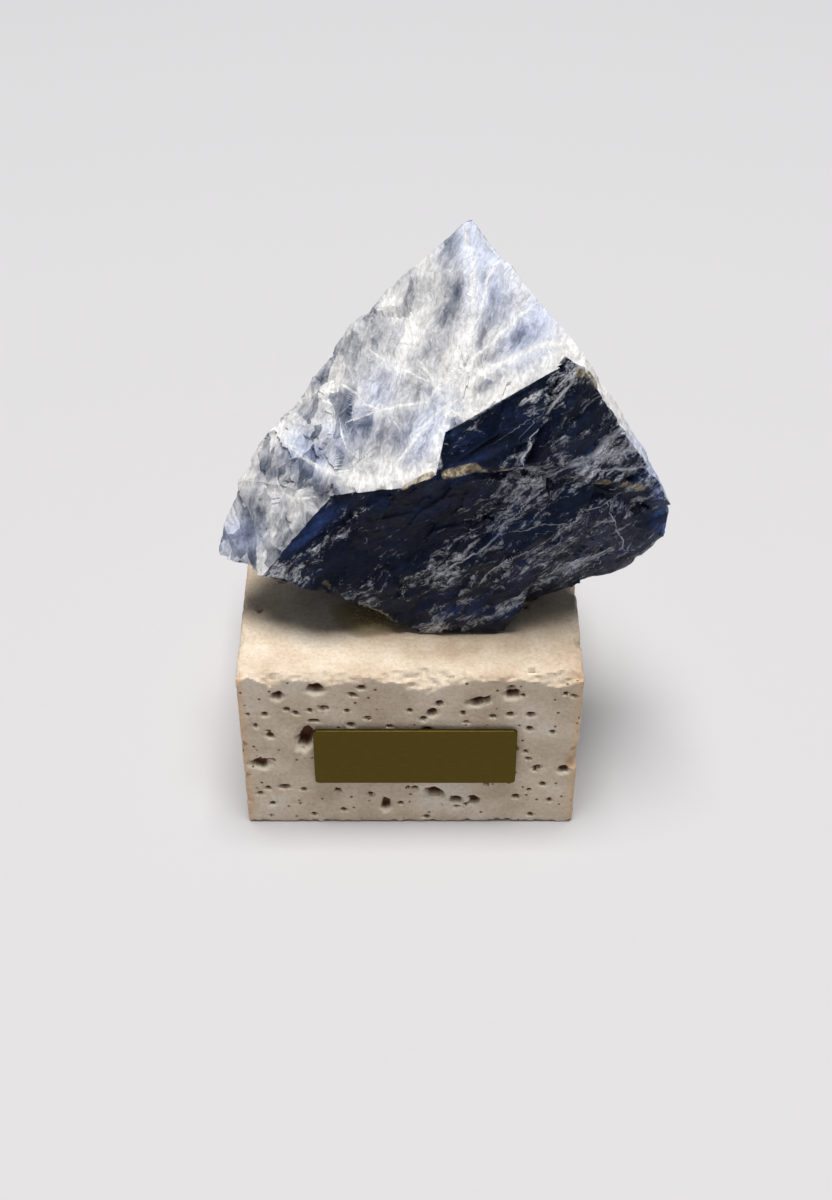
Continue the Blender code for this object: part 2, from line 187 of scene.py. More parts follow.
# Broad marks on the stone, by their half width, their strength and the points that each passes through.
MARKED = {
    # Bright parts of the slope: the right ridge, the fan below it, the rim and the spine.
    "milky": (
        (1.5, 1.2, (7.2, 3, 69), (9.1, 1, 67.5), (11.3, -2, 66.2), (13.6, -5, 64.7), (15.9, -8.3, 63),
         (18.2, -11.1, 61.8), (20.5, -11, 59)),
        (1.4, 1.2, (18.2, -11.1, 61.8), (21.5, -11, 57.3), (24, -10.7, 53.2)),
        (1.6, 1.1, (16.3, -9.8, 61.8), (13, -9, 60.4), (9.7, -9.3, 58), (6.7, -10, 55.4)),
        (1, 0.7, (6.9, 1.5, 66.5), (7, -2.7, 62.7), (5.1, -5.8, 58.5), (3.9, -9.3, 54.2), (2.8, -11, 52)),
        (0.9, 0.7, (3.4, -13.1, 50.2), (1, -13, 48.9), (-2.9, -12.1, 47.3), (-5.2, -11.4, 46.4)),
        (1, 0.5, (-13.7, -4.7, 47.4), (-10.4, -8.2, 46.2), (-6.4, -10.4, 46.6)),
        (1, 0.5, (-2.6, 2.1, 61), (0.1, -1.2, 59.6), (-1.4, -3.4, 56.9)),
        (1, 0.5, (-16.8, -8.6, 40.4), (-15.6, -10.4, 38.4), (-15.8, -11.4, 36.2)),
    ),
    # Grey hollows on the slope.
    "slate": (
        (0.8, 0.7, (5.6, -0.1, 64.2), (4.4, -0.9, 62.6), (3.6, -1.6, 61.2)),
        (0.7, 0.8, (-8.1, -3.2, 52.6), (-6.9, -3.4, 53)),
        (1.1, 0.9, (-7.4, -5.2, 51.2), (-5, -6.6, 51.2)),
        (1.9, 0.9, (-13, -6.3, 46.4), (-11.2, -8.1, 45.4), (-9.8, -10, 44.6)),
        (1.1, 0.9, (-16.4, -6.2, 44.2), (-14.4, -7.4, 44.2)),
        (1.1, 0.9, (-18.6, -7.4, 41), (-17.4, -8.6, 40)),
        (0.7, 0.8, (10.7, -6.3, 61.5), (11.9, -6.3, 62.3)),
        (0.8, 0.5, (11.2, -3, 64.8), (12, -3.6, 65.3)),
        (0.9, 0.8, (-11, -11.2, 41.6), (-13, -11.8, 38.8), (-15.2, -11.9, 36.6)),
        (0.8, 0.8, (-19, -10.7, 34.3), (-18, -10.8, 35)),
        (0.9, 0.6, (7.6, -9, 57.2), (8.8, -8.6, 58)),
        (1, 0.5, (-3.4, -8.4, 50.4), (-1.2, -9.4, 50.4)),
    ),
    # Where the slope is sky blue to lavender.
    "sky": (
        (2.4, 1, (25.2, -10.6, 51), (27.1, -10.4, 47), (28.6, -10, 42.5)),
        (2.2, 1, (-20.6, -9, 36.3), (-18.6, -9.4, 37.3)),
        (2, 0.9, (-12.2, -6, 47.4), (-10.4, -7.4, 46.8)),
        (2.2, 0.8, (3.3, -9, 54.1), (0.8, -10.6, 51.6)),
        (3, 0.8, (5.9, 4.6, 68.8), (8.4, 1, 66.8), (9, -2, 64.6)),
        (2.6, 0.9, (13.9, -5.4, 64), (12, -7.2, 61.8)),
        (2.4, 0.6, (-7.7, -7, 49), (-3, -4.4, 54)),
    ),
    # Cream to brown stains.
    "stain": (
        (0.46, 1.1, (4, -13.6, 49.3), (6.9, -13.4, 50.1), (10.2, -13.7, 50.5)),
        (0.34, 0.8, (-0.8, -13.6, 47.5), (0.6, -13.5, 48.3), (2.3, -13.4, 49.2)),
        (0.5, 0.8, (17.6, -11.4, 61), (18.6, -11.4, 60.6), (19.6, -11.3, 59.4)),
        (0.42, 1, (19.9, -12.1, 47.1), (21.5, -12.1, 46.9)),
        (0.38, 1, (22.9, -11.6, 46.6), (24.1, -11.6, 46.2)),
        (0.34, 1, (24.8, -11.2, 45.8), (25.7, -11.2, 45.4)),
        (0.45, 0.5, (-9.6, -13.7, 34), (-8, -13.6, 32.4), (-6, -13, 30.4), (-4.1, -12.5, 28.6),
         (-1.4, -12.6, 27.2)),
    ),
    # Where the fresh breaks are thick with white flecks: the right edge, around the crossing of the veins,
    # the flank under the ridge, and the foot.
    "flecked": (
        (1.3, 1, (21.3, -11.1, 57.9), (22.6, -10.9, 55.6), (23.9, -10.8, 52.9), (26, -10.6, 49),
         (27.1, -10.6, 45.5)),
        (6, 0.4, (8, -13.4, 36), (18, -12.4, 38), (22, -11.4, 46)),
        (1.6, 0.9, (24.6, -10.9, 50.8), (20.7, -12.1, 50.3), (18.4, -12.7, 49.4)),
        (1.3, 0.9, (25.4, -10.9, 48.2), (22, -11.9, 47.9), (19.2, -12.6, 47.9)),
        (2.2, 0.6, (14.6, -12.2, 56.2), (18.4, -11.8, 56.4), (20.6, -11.5, 54.2)),
        (1.6, 0.5, (15, -12.6, 48.3), (12.7, -13.3, 45.3), (9.9, -13.1, 40.9)),
        (1.4, 0.6, (18.6, -13.3, 43.4), (13.2, -13.6, 41.7), (8.5, -13.5, 39.1), (2.8, -13.6, 34.4)),
        (1.3, 0.7, (24.2, -10.3, 36.9), (22.8, -10.2, 35.3), (19.4, -11, 34.6)),
        (0.9, 0.9, (1.2, -12.9, 26.6), (5.8, -12.8, 26.5), (10.4, -13, 28.3)),
        (1.6, 0.5, (2.4, -13.2, 29), (7.4, -13.2, 28.9), (12.6, -13, 30.7)),
        (1.4, 1.3, (-17.2, -12.1, 34.3), (-15.3, -13.2, 34), (-12.4, -14.2, 34.2)),
    ),
    # Painted light: where light coming through the fresh breaks is painted in as their blue.
    "glowing": (
        (1.6, 0.9, (27, -10.6, 46.5), (28.4, -9.9, 42.1), (28.6, -9.5, 38.5)),
        (1.2, 0.6, (23.9, -10.8, 52.9), (26, -10.6, 49)),
        (0.9, 0.7, (-13.9, -12.5, 36.6), (-11.9, -12.3, 39.1), (-9.9, -12, 41.7), (-8, -11.6, 43.6)),
        (1, 0.6, (-5.2, -12.2, 44.8), (-2.9, -13, 45.1)),
        (1.5, 0.6, (3.5, -13.1, 28.9), (8.7, -13.1, 28.9), (12.6, -13, 30.7)),
        (1.5, 0.5, (15, -12.6, 47.3), (12, -13.3, 43.3), (10, -13.1, 40.9)),
    ),
}

# The streaks on the fresh breaks rise to the right, and the fibres on the slope run down it.
STREAK_ALONG = np.array([0.73, 0.0, 0.68])
FIBRE_ALONG = np.array([-0.27, -0.585, -0.765])
# Where the slope is crumbly besides its lower left: above the middle of the rim. Written as the marks are.
CRUMBLY = ((3, 0.7, (5, -10, 55), (9.5, -9, 58)),)


def linear(hex_colour):
    """An sRGB colour as written on the web, as linear red, green, blue and alpha."""
    channels = [int(hex_colour[i : i + 2], 16) / 255 for i in (0, 2, 4)]
    return (*(c / 12.92 if c <= 0.04045 else ((c + 0.055) / 1.055) ** 2.4 for c in channels), 1)


def ease(low, high, value):
    """0 at low, 1 at high, and a smooth change between them."""
    t = np.clip((value - low) / (high - low), 0, 1)
    return t * t * (3 - 2 * t)


def unit(ways):
    """Directions, each 1 long."""
    return ways / np.linalg.norm(ways, axis=1)[:, None]


def lattice_gradients(cells, seed):
    """Three repeatable numbers from -1 to 1 for each whole-number cell."""
    x, y, z = (cells[:, i].astype(np.uint32) for i in range(3))
    mixed = x * np.uint32(73856093) ^ y * np.uint32(19349663) ^ z * np.uint32(83492791)
    mixed ^= np.uint32(seed * 2654435761 % 2**32)
    numbers = []
    for _ in range(3):
        mixed ^= mixed >> np.uint32(15)
        mixed = mixed * np.uint32(2246822519)
        mixed ^= mixed >> np.uint32(13)
        numbers.append((mixed & np.uint32(0xFFFF)) / 32767.5 - 1)
    return np.stack(numbers, 1)


def noise(points, size, seed=0):
    """Gradient noise, about -1 to 1, of features about size mm wide: each cell's eight corners blended."""
    at = points / size
    cell = np.floor(at)
    within = at - cell
    cell = cell.astype(np.int64)
    weight = within**3 * (within * (within * 6 - 15) + 10)
    total = np.zeros(len(points))
    for corner in np.ndindex(2, 2, 2):
        slope = lattice_gradients(cell + corner, seed)
        share = np.where(corner, weight, 1 - weight).prod(1)
        total += share * ((within - corner) * slope).sum(1)
    return total * 1.7


def layered(points, size, seed=0, layers=4):
    """Noise laid over itself, each layer half the size and half as strong."""
    return sum(noise(points, size / 2**i, seed + i) * 0.5**i for i in range(layers))


def stretched(points, along, times):
    """The points with their distance along one direction divided, which draws noise out that way."""
    along = along / np.linalg.norm(along)
    return points + (points @ along)[:, None] * along * (1 / times - 1)


def facets(points, size, seed):
    """Broken facets: space is split among scattered centres about size mm apart, each with a tilt of its own,
    and the height is how far a point lies from the nearest centre along that tilt."""
    at = points / size
    home = np.floor(at).astype(np.int64)
    nearest = np.full(len(points), np.inf)
    height = np.zeros(len(points))
    for step in np.ndindex(3, 3, 3):
        cell = home + np.array(step) - 1
        away = at - cell - 0.5 - 0.45 * lattice_gradients(cell, seed)
        distance = (away**2).sum(1)
        tilted = (away * lattice_gradients(cell, seed + 1)).sum(1)
        height = np.where(distance < nearest, tilted, height)
        nearest = np.minimum(nearest, distance)
    return height * size


def box_lattice(steps):
    """The corners and squares of a grid over all six sides of a box, as whole numbers, its seams shared."""
    corners, squares, start = [], [], 0
    for axis in range(3):
        first, second = (axis + 1) % 3, (axis + 2) % 3
        rows, columns = steps[first] + 1, steps[second] + 1
        i, j = (grid.ravel() for grid in np.meshgrid(np.arange(rows), np.arange(columns), indexing="ij"))
        at = start + np.arange(rows * columns).reshape(rows, columns)
        ring = np.stack([at[:-1, :-1], at[1:, :-1], at[1:, 1:], at[:-1, 1:]], -1).reshape(-1, 4)
        for end in (0, steps[axis]):
            place = np.zeros((rows * columns, 3), int)
            place[:, first], place[:, second], place[:, axis] = i, j, end
            corners.append(place)
            squares.append(ring if end else ring[:, ::-1])
            ring = ring + rows * columns
            start += rows * columns
    corners, shared = np.unique(np.concatenate(corners), axis=0, return_inverse=True)
    return corners, shared.ravel()[np.concatenate(squares)]


def between_rings(first, second, count):
    """The squares between two closed rings of count points, from the numbers of their first points."""
    i = np.arange(count)
    j = (i + 1) % count
    return np.stack([first + i, second + i, second + j, first + j], 1)


def piece(name, points, faces, material, marks=None, face_marks=None, sharp=30.0, parts=None):
    """A mesh drawn in millimetres, as an object in metres. Marks are numbers for each point, face marks for
    each face. Edges are sharp past the angle in degrees, and where faces of different parts meet."""
    mesh = bpy.data.meshes.new(name)
    mesh.from_pydata((points * MM).tolist(), [], faces)
    for domain, numbers in (("POINT", marks), ("FACE", face_marks)):
        for mark, values in (numbers or {}).items():
            mesh.attributes.new(mark, "FLOAT", domain).data.foreach_set("value", values.astype(np.float32))
    mesh.materials.append(material)
    mesh.shade_smooth()
    mesh.set_sharp_from_angle(angle=math.radians(sharp))
    if parts is not None:
        edge_of = np.zeros(len(mesh.loops), np.int32)
        mesh.loops.foreach_get("edge_index", edge_of)
        part_of = np.repeat(parts, [len(face) for face in faces])
        low = np.full(len(mesh.edges), parts.max())
        high = np.full(len(mesh.edges), parts.min())
        np.minimum.at(low, edge_of, part_of)
        np.maximum.at(high, edge_of, part_of)
        was_sharp = np.zeros(len(mesh.edges), bool)
        mesh.edges.foreach_get("use_edge_sharp", was_sharp)
        mesh.edges.foreach_set("use_edge_sharp", was_sharp | (low != high))
    made = bpy.data.objects.new(name, mesh)
    bpy.context.scene.collection.objects.link(made)
    return made


# The stone


BREAK_NAMES = list(BREAKS)
AZIMUTH, ELEVATION = np.radians([BREAKS[name][:2] for name in BREAK_NAMES]).T
NORMALS = np.stack(
    [np.cos(ELEVATION) * np.cos(AZIMUTH), np.cos(ELEVATION) * np.sin(AZIMUTH), np.sin(ELEVATION)], 1
)
DISTANCES = np.array([BREAKS[name][2] for name in BREAK_NAMES])


def reach(directions):
    """How far the stone goes from its heart along each direction: the longest lump, each ended by its nearest
    break. Also which break that is, and how far behind it the next one is, which is little near a crease."""
    along = directions @ NORMALS.T
    limit = np.where(along > TINY, DISTANCES / np.maximum(along, TINY), np.inf)
    rows = np.arange(len(directions))
    ends, lengths, seconds = [], [], []
    for own in LUMPS.values():
        columns = np.array([BREAK_NAMES.index(name) for name in (*OUTER_BREAKS, *own)])
        order = np.argsort(limit[:, columns], 1)[:, :2]
        ends.append(columns[order[:, 0]])
        lengths.append(limit[rows, columns[order[:, 0]]])
        seconds.append(limit[rows, columns[order[:, 1]]])
    ends, lengths, seconds = np.array(ends), np.array(lengths), np.array(seconds)
    longest = lengths.argmax(0)
    length, which = lengths[longest, rows], ends[longest, rows]
    same = (ends == which) & (lengths > length - 1e-9)
    crease = np.where(same, seconds, -np.inf).max(0) - length
    return length, which, crease


def snap_to_creases(directions, edges, free):
    """Moves the free directions nearest a crease between two breaks onto it, so that its edge is sharp."""
    _, which, _ = reach(directions)
    first, second = edges[which[edges[:, 0]] != which[edges[:, 1]]].T
    a, b = which[first], which[second]
    tie = DISTANCES[a, None] * NORMALS[b] - DISTANCES[b, None] * NORMALS[a]
    at_first = (tie * directions[first]).sum(1)
    at_second = (tie * directions[second]).sum(1)
    share = at_first / np.where(at_first == at_second, 1, at_first - at_second)
    owner = np.where(share < 0.5, first, second)
    good = (share > 0) & (share < 1) & free[owner]
    owner, share = owner[good], share[good]
    place = directions[first[good]] + share[:, None] * (directions[second[good]] - directions[first[good]])
    nearest_last = np.argsort(-np.linalg.norm(place - directions[owner], axis=1), kind="stable")
    moved = directions.copy()
    moved[owner[nearest_last]] = place[nearest_last]
    still_free = free.copy()
    still_free[owner] = False
    return unit(moved), still_free


def split_squares(squares, snapped, points):
    """Two triangles for each square, split between two snapped corners if it has them opposite each other, or
    else along its shorter diagonal."""
    across = np.linalg.norm(points[squares[:, 0]] - points[squares[:, 2]], axis=1)
    along = np.linalg.norm(points[squares[:, 1]] - points[squares[:, 3]], axis=1)
    on_crease = snapped[squares]
    first_way = on_crease[:, 0] & on_crease[:, 2]
    second_way = on_crease[:, 1] & on_crease[:, 3]
    turn = np.where(first_way == second_way, along < across, second_way)
    squares = np.where(turn[:, None], np.roll(squares, -1, 1), squares)
    return np.concatenate([squares[:, [0, 1, 2]], squares[:, [0, 2, 3]]])


def segments(points, corners):
    """For each stretch of a line: its direction, and which way and how far each point lies from it."""
    for start, end in zip(np.array(corners[:-1]), np.array(corners[1:])):
        along = end - start
        share = np.clip((points - start) @ along / (along @ along), 0, 1)
        away = points - start - share[:, None] * along
        yield along, away, np.linalg.norm(away, axis=1)


def near_lines(points, lines):
    """How strongly each point lies on broad lines: the strength at a line, none past twice its half width."""
    found = np.zeros(len(points))
    for half_width, strength, *corners in lines:
        for _, _, distance in segments(points, corners):
            found = np.maximum(found, strength * (1 - ease(0, 2 * half_width, distance)))
    return found


def beside_lines(points, lines):
    """Where each point lies across its nearest thin line, in half widths, below 0 on one side of it. Also 1
    within 0.4 mm of a line, falling to 0 at 1.2 mm."""
    nearest = np.full(len(points), np.inf)
    across = np.zeros(len(points))
    outward = points - STONE_HEART
    for half_width, *corners in lines:
        for along, away, distance in segments(points, corners):
            side = np.sign((np.cross(along, away) * outward).sum(1))
            closer = distance < nearest
            across = np.where(closer, side * distance / half_width, across)
            nearest = np.where(closer, distance, nearest)
    return across, 1 - ease(0.4, 1.2, nearest)


def stone_relief(points, crease, frosted, behind, crumbly):
    """How far each point stands out of its break. All breaks swell gently. Fresh ones are stepped along the
    streaks, frosted ones crumble along the fibres, hidden ones have broad facets, and creases are chipped."""
    swell = 0.26 * layered(points, size=8, seed=3, layers=3)
    swell += 0.16 * behind * facets(points, size=4.5, seed=23)
    streaked = stretched(points, STREAK_ALONG, 3)
    steps = 0.20 * facets(streaked, size=2.4, seed=11) + 0.14 * facets(streaked, size=1.1, seed=17)
    steps += 0.07 * (1 - 2 * np.abs(noise(streaked, size=1.3, seed=19)))
    fibrous = stretched(points, FIBRE_ALONG, 2)
    crumble = 0.06 * facets(fibrous, size=1.1, seed=31)
    crumble += (0.05 + 0.25 * crumbly) * facets(fibrous, size=2, seed=33)
    crumble += 0.04 * layered(fibrous, size=1.4, seed=37, layers=2)
    height = swell + np.where(frosted, crumble, steps)
    chip_depth = 0.05 + 0.6 * ease(0.1, 0.9, layered(points, size=2.2, seed=47, layers=3) + 0.25)
    height -= chip_depth * np.exp(-crease / 0.35)
    return height * (1 - 0.5 * np.exp(-crease / 0.7))


def stone_piece(material):
    """A grid over a cube, each corner sent out from the heart to the nearest break of the longest lump, and
    on by the relief measured square to that break."""
    lattice, squares = box_lattice((STONE_STEPS,) * 3)
    directions = unit(np.tan((lattice / STONE_STEPS * 2 - 1) * math.pi / 4))
    pairs = np.stack([squares, np.roll(squares, -1, 1)], -1).reshape(-1, 2)
    edges = np.unique(np.sort(pairs, 1), axis=0)
    free = np.ones(len(directions), bool)
    for _ in range(3):
        directions, free = snap_to_creases(directions, edges, free)
    length, which, crease = reach(directions)
    points = STONE_HEART + directions * length[:, None]
    triangles = split_squares(squares, ~free, points)

    frost_of = np.array([FROST.get(name, 0.0) for name in BREAK_NAMES])
    blue_of = np.array([BLUE.get(name, 0.1) for name in BREAK_NAMES])
    behind = ease(-3, 2, points[:, 1])
    crumbly_left = ease(-4, -12, points[:, 0])
    crumbly = np.maximum(crumbly_left, near_lines(points, CRUMBLY))
    height = stone_relief(points, crease, frost_of[which] > 0.35, behind, crumbly)
    height = np.where(which == BREAK_NAMES.index("base"), 0, height)

    # Relief square to a break needs a longer push along a slanted direction, but less at a glance.
    facing = (directions * NORMALS[which]).sum(1)
    push = np.minimum(1 / np.maximum(facing, 0.6), facing / 0.6**2)
    points = points + directions * (height * push)[:, None]
    points[:, 2] = np.maximum(points[:, 2], STONE_FOOT)

    across, vein = beside_lines(points, VEINS)
    marks = {"across": across, "vein": vein, "crumbly": crumbly}
    marks |= {name: near_lines(points, lines) for name, lines in MARKED.items()}
    # The creases of the hidden sides are bruised white.
    marks["flecked"] = np.maximum(marks["flecked"], 1.2 * behind * np.exp(-crease / 0.6))
    _, ended_by, _ = reach(unit(directions[triangles].mean(1)))
    face_marks = {"frost": frost_of[ended_by], "blue": blue_of[ended_by]}
    return piece("sodalite_stone", points, triangles.tolist(), material, marks, face_marks, 32, ended_by)


# The block


def chamfer_depth(along, seed, least, most):
    """How far a sawn arris is worn back at each place along it, with chips where the noise is high."""
    at = np.stack([along, np.full_like(along, seed * 7.3), np.zeros_like(along)], 1)
    return least + most * ease(0.1, 0.9, layered(at, 3, seed, 3)) + 0.15 * noise(at, 0.8, seed + 5)


# The chipped arris above the label: place across and how far down the chips reach.
FRONT_CHIPS = np.array([
    (-20, 0.5), (-18.4, 0.3), (-17.2, 1), (-16.1, 1.6), (-15, 0.8), (-13.8, 0.3), (-11.5, 0.8), (-9.2, 1.3),
    (-7.8, 0.9), (-6.3, 0.4), (-3.5, 0.8), (-1.1, 1.2), (0.4, 1.5), (1.7, 2.4), (2.8, 2), (4, 1.6),
    (5.6, 0.8), (8.1, 0.5), (11, 0.4), (13.8, 0.7), (15.6, 1), (17.3, 1.6), (18.4, 1.2), (19, 0.9), (20, 0.8),
])
# Open pores: place across the face, height, width, height of the mouth, depth, any turn in degrees.
FRONT_PORES = (
    (-10.9, 23, 2.1, 1.5, 1.2), (-15.4, 21.9, 1.6, 1.2, 0.9, 10), (-12.4, 14.7, 1.8, 4.2, 1.6, -15),
    (-18, 10.5, 2.6, 1.5, 0.9), (-15.2, 6.4, 1.5, 0.8, 0.7), (2.6, 19.2, 1.5, 1.2, 0.9, 25),
    (8.1, 21.1, 3, 1.3, 1.2, 15), (11.9, 22.2, 2, 1.5, 1.1), (2.9, 5.2, 2.4, 1.8, 1.3, -20),
    (5.6, 3.9, 1.5, 1.3, 1), (7.9, 3.7, 1.5, 1.3, 1, 20), (-3, 3, 1.3, 2.2, 1), (18.4, 9.4, 1.5, 1.3, 0.8),
)
SIDE_PORES = (
    (-13, 19.5, 3, 1.6, 1.3, 12), (-4.5, 6.5, 2, 2.8, 1.4, -10), (3.5, 17, 2.4, 1.2, 1, 5),
    (9.5, 4.5, 1.6, 1.4, 1), (14.5, 13, 3.4, 1.5, 1.4, -8), (-16, 10, 1.5, 1.2, 0.9),
)
TOP_PORES = (
    (14.5, -6, 2.2, 1.3, 0.7, 20), (-15.5, -3, 1.6, 1.2, 0.6), (-12, 14, 2.6, 1.6, 0.9, -30),
    (10.5, 15.5, 1.8, 2.4, 0.9),
)
# Small pores of the front face, the same way.
FRONT_PINHOLES = (
    (-5.6, 23.3, 1, 0.7, 0.5), (-14.4, 19.8, 0.9, 0.6, 0.5), (-11.7, 19.6, 0.8, 0.6, 0.5),
    (-5, 18.3, 0.9, 0.6, 0.5), (-11.3, 17.9, 1.6, 0.5, 0.4), (3.4, 20.8, 1.1, 0.8, 0.6, 30),
    (1.6, 18.2, 1, 0.8, 0.5), (6.2, 19.2, 0.8, 0.7, 0.5), (0, 19.6, 0.7, 0.6, 0.4),
    (9.7, 18.6, 0.8, 0.6, 0.4), (-7.3, 19.6, 0.8, 0.5, 0.4), (9.2, 6.9, 0.9, 0.7, 0.5),
    (-12.9, 6, 0.9, 0.6, 0.5), (-8.8, 5.7, 0.8, 0.7, 0.5), (-4.8, 5.1, 1, 0.6, 0.5),
    (-1.2, 3.4, 0.8, 0.6, 0.5), (-8.2, 2.2, 0.9, 0.7, 0.5), (-11.8, 1.4, 0.8, 0.6, 0.4),
    (2, 0.9, 1, 0.6, 0.4), (12.5, 13, 0.8, 0.9, 0.6), (13.7, 12.6, 0.7, 0.7, 0.4),
    (14.1, 11.4, 0.8, 0.6, 0.4), (-16.6, 11.2, 0.9, 0.5, 0.5), (16, 6.9, 0.9, 0.7, 0.5),
    (17, 3.9, 0.7, 0.8, 0.4), (14.8, 1.3, 1, 0.6, 0.5), (16.8, 16, 0.8, 0.6, 0.4), (-18.2, 17, 0.7, 0.9, 0.4),
    (-16.9, 3.4, 0.8, 0.6, 0.4), (12.9, 4.6, 1.2, 0.8, 0.6),
)
BLOCK_STEPS = (170, 96, 108)
# The axis each side faces along, and its sign. Then the same of the way across each pored side.
BLOCK_SIDES = {
    "left": (0, -1), "right": (0, 1), "front": (1, -1), "back": (1, 1), "under": (2, -1), "top": (2, 1),
}
ACROSS = {"front": (0, 1), "back": (0, -1), "right": (1, 1), "left": (1, -1), "top": (0, 1)}
PORE_REACH = 19.0
LOW_PORE, HIGH_PORE = 1.0, 23.5


def random_pores(seed, count, low=LOW_PORE, high=HIGH_PORE):
    """Scattered small pores, written as the listed ones are, the same each run."""
    chance = np.random.default_rng(seed)
    across = chance.uniform(-PORE_REACH, PORE_REACH, count)
    up = chance.uniform(low, high, count)
    width = chance.uniform(0.6, 1.3, count)
    flat = chance.uniform(0.5, 1, count)
    return tuple(zip(across, up, width, width * flat, width * 0.55, chance.uniform(-30, 30, count)))


PORES = {
    "front": FRONT_PORES + FRONT_PINHOLES + random_pores(5, 40, low=0.8),
    "right": SIDE_PORES + random_pores(6, 60),
    "back": SIDE_PORES + random_pores(7, 60),
    "left": FRONT_PORES[3:] + random_pores(8, 60),
    "top": TOP_PORES + random_pores(9, 12, -PORE_REACH, PORE_REACH),
}


def arris_mark(depth_in):
    """How near each point is to an upright arris: 0.9 on it, falling off over 1.5 mm."""
    across = np.minimum(depth_in["left"], depth_in["right"])
    along = np.minimum(depth_in["front"], depth_in["back"])
    return 0.9 * (1 - ease(0, 1.5, np.maximum(across, along)))


def block_piece(material):
    """A grid over the box. Each pore pushes the grid in by its depth inside a ragged oval mouth, and each
    arris is cut back to the plane where the distances to its two sides add up to the depth of its wear."""
    lattice, squares = box_lattice(BLOCK_STEPS)
    low = np.array([-BLOCK_HALF, -BLOCK_HALF, 0.0])
    high = np.array([BLOCK_HALF, BLOCK_HALF, BLOCK_HEIGHT])
    flat = low + lattice / np.array(BLOCK_STEPS) * (high - low)
    points = flat.copy()
    depth_in = {
        side: np.abs(flat[:, axis] - (high if sign > 0 else low)[axis])
        for side, (axis, sign) in BLOCK_SIDES.items()
    }

    ragged = 0.28 * noise(flat, size=0.9, seed=61) + 0.15 * noise(flat, size=0.45, seed=62)
    pore = np.zeros(len(flat))
    lip_highlight = np.zeros(len(flat))
    for side, listed in PORES.items():
        axis, sign = BLOCK_SIDES[side]
        sideways, mirrored = ACROSS[side]
        on_side = np.nonzero(depth_in[side] < TINY)[0]
        across = flat[on_side, sideways] * mirrored
        up = flat[on_side, 1 if side == "top" else 2]
        sunk = np.zeros(len(on_side))
        for place, height, width, tall, depth, *turn in listed:
            angle = math.radians(*turn or (0,))
            c, s = math.cos(angle), math.sin(angle)
            x, z = across - place, up - height
            r = np.hypot((x * c + z * s) / (width / 2), (z * c - x * s) / (tall / 2)) + ragged[on_side]
            hole = np.clip((1 - r) / 0.4, 0, 1) ** 0.8
            lip = np.clip(1.4 - r, 0, 0.5) * min(tall, 1.4)
            sunk = np.maximum(sunk, np.maximum(depth * 1.15 * hole, 0.55 * lip))
            # Painted highlight: a pale band on the lower lip of each pore, where overhead light would catch
            # it.
            below = ease(0.1, 0.7, (x * s - z * c) / (tall / 2))
            rim = ease(0.8, 1, r) * (1 - ease(1.15, 1.5, r)) * below
            # The deeper part of each hole is marked for painted shade in the material.
            pore[on_side] = np.maximum(pore[on_side], hole)
            lip_highlight[on_side] = np.maximum(lip_highlight[on_side], rim)
        points[on_side, axis] -= sign * sunk

    cut = np.zeros(len(flat))
    for number, (a, b) in enumerate(itertools.combinations(BLOCK_SIDES, 2)):
        (axis_a, sign_a), (axis_b, sign_b) = BLOCK_SIDES[a], BLOCK_SIDES[b]
        if axis_a == axis_b:
            continue
        along = flat[:, 3 - axis_a - axis_b]
        worn = chamfer_depth(along, 70 + number, 0.3, 0.55 if "under" in (a, b) else 1.3)
        if (a, b) == ("front", "top"):
            worn = np.interp(along, *FRONT_CHIPS.T) + 0.5 * noise(flat, size=1.3, seed=75)
        worn = worn + 0.3 * noise(flat, size=0.7, seed=76)
        back = np.clip(worn - depth_in[a] - depth_in[b], 0, None) / 2
        if "top" not in (a, b):
            cut = np.maximum(cut, ease(0, 0.15, back))
        points[:, axis_a] -= sign_a * back
        points[:, axis_b] -= sign_b * back

    inward = np.array([0.0, 0.0, BLOCK_HEIGHT / 2]) - flat
    points += unit(inward) * (0.035 * (1 + layered(flat, size=1.6, seed=81, layers=3)))[:, None]
    points[:, 2] = np.maximum(points[:, 2], 0)
    marks = {
        "pore": pore,
        # The painted highlight on the lower lips, kept out of the holes.
        "lip_highlight": lip_highlight * (1 - pore),
        "arris": np.maximum(cut, arris_mark(depth_in)),
        "filled": 1 - ease(0, 0.6, depth_in["top"]),
    }
    return piece("travertine_base", points, squares.tolist(), material, marks, sharp=38)


# The label plate and the glue


PLATE_WIDTH, PLATE_HEIGHT, PLATE_THICKNESS = 24.0, 9.0, 0.4
PLATE_X, PLATE_Z = 0.6, 12.4
PLATE_CORNER = 0.45
PLATE_ROUND = 0.08
CORNER_STEPS = 9

GLUE_MIDDLE = np.array([-4.2, -9.9])
GLUE_HALF = np.array([5.6, 3.1])
GLUE_RINGS, GLUE_SPOKES = 40, 144
GLUE_SKIN = 0.05
GLUE_HIGHEST = 3.0


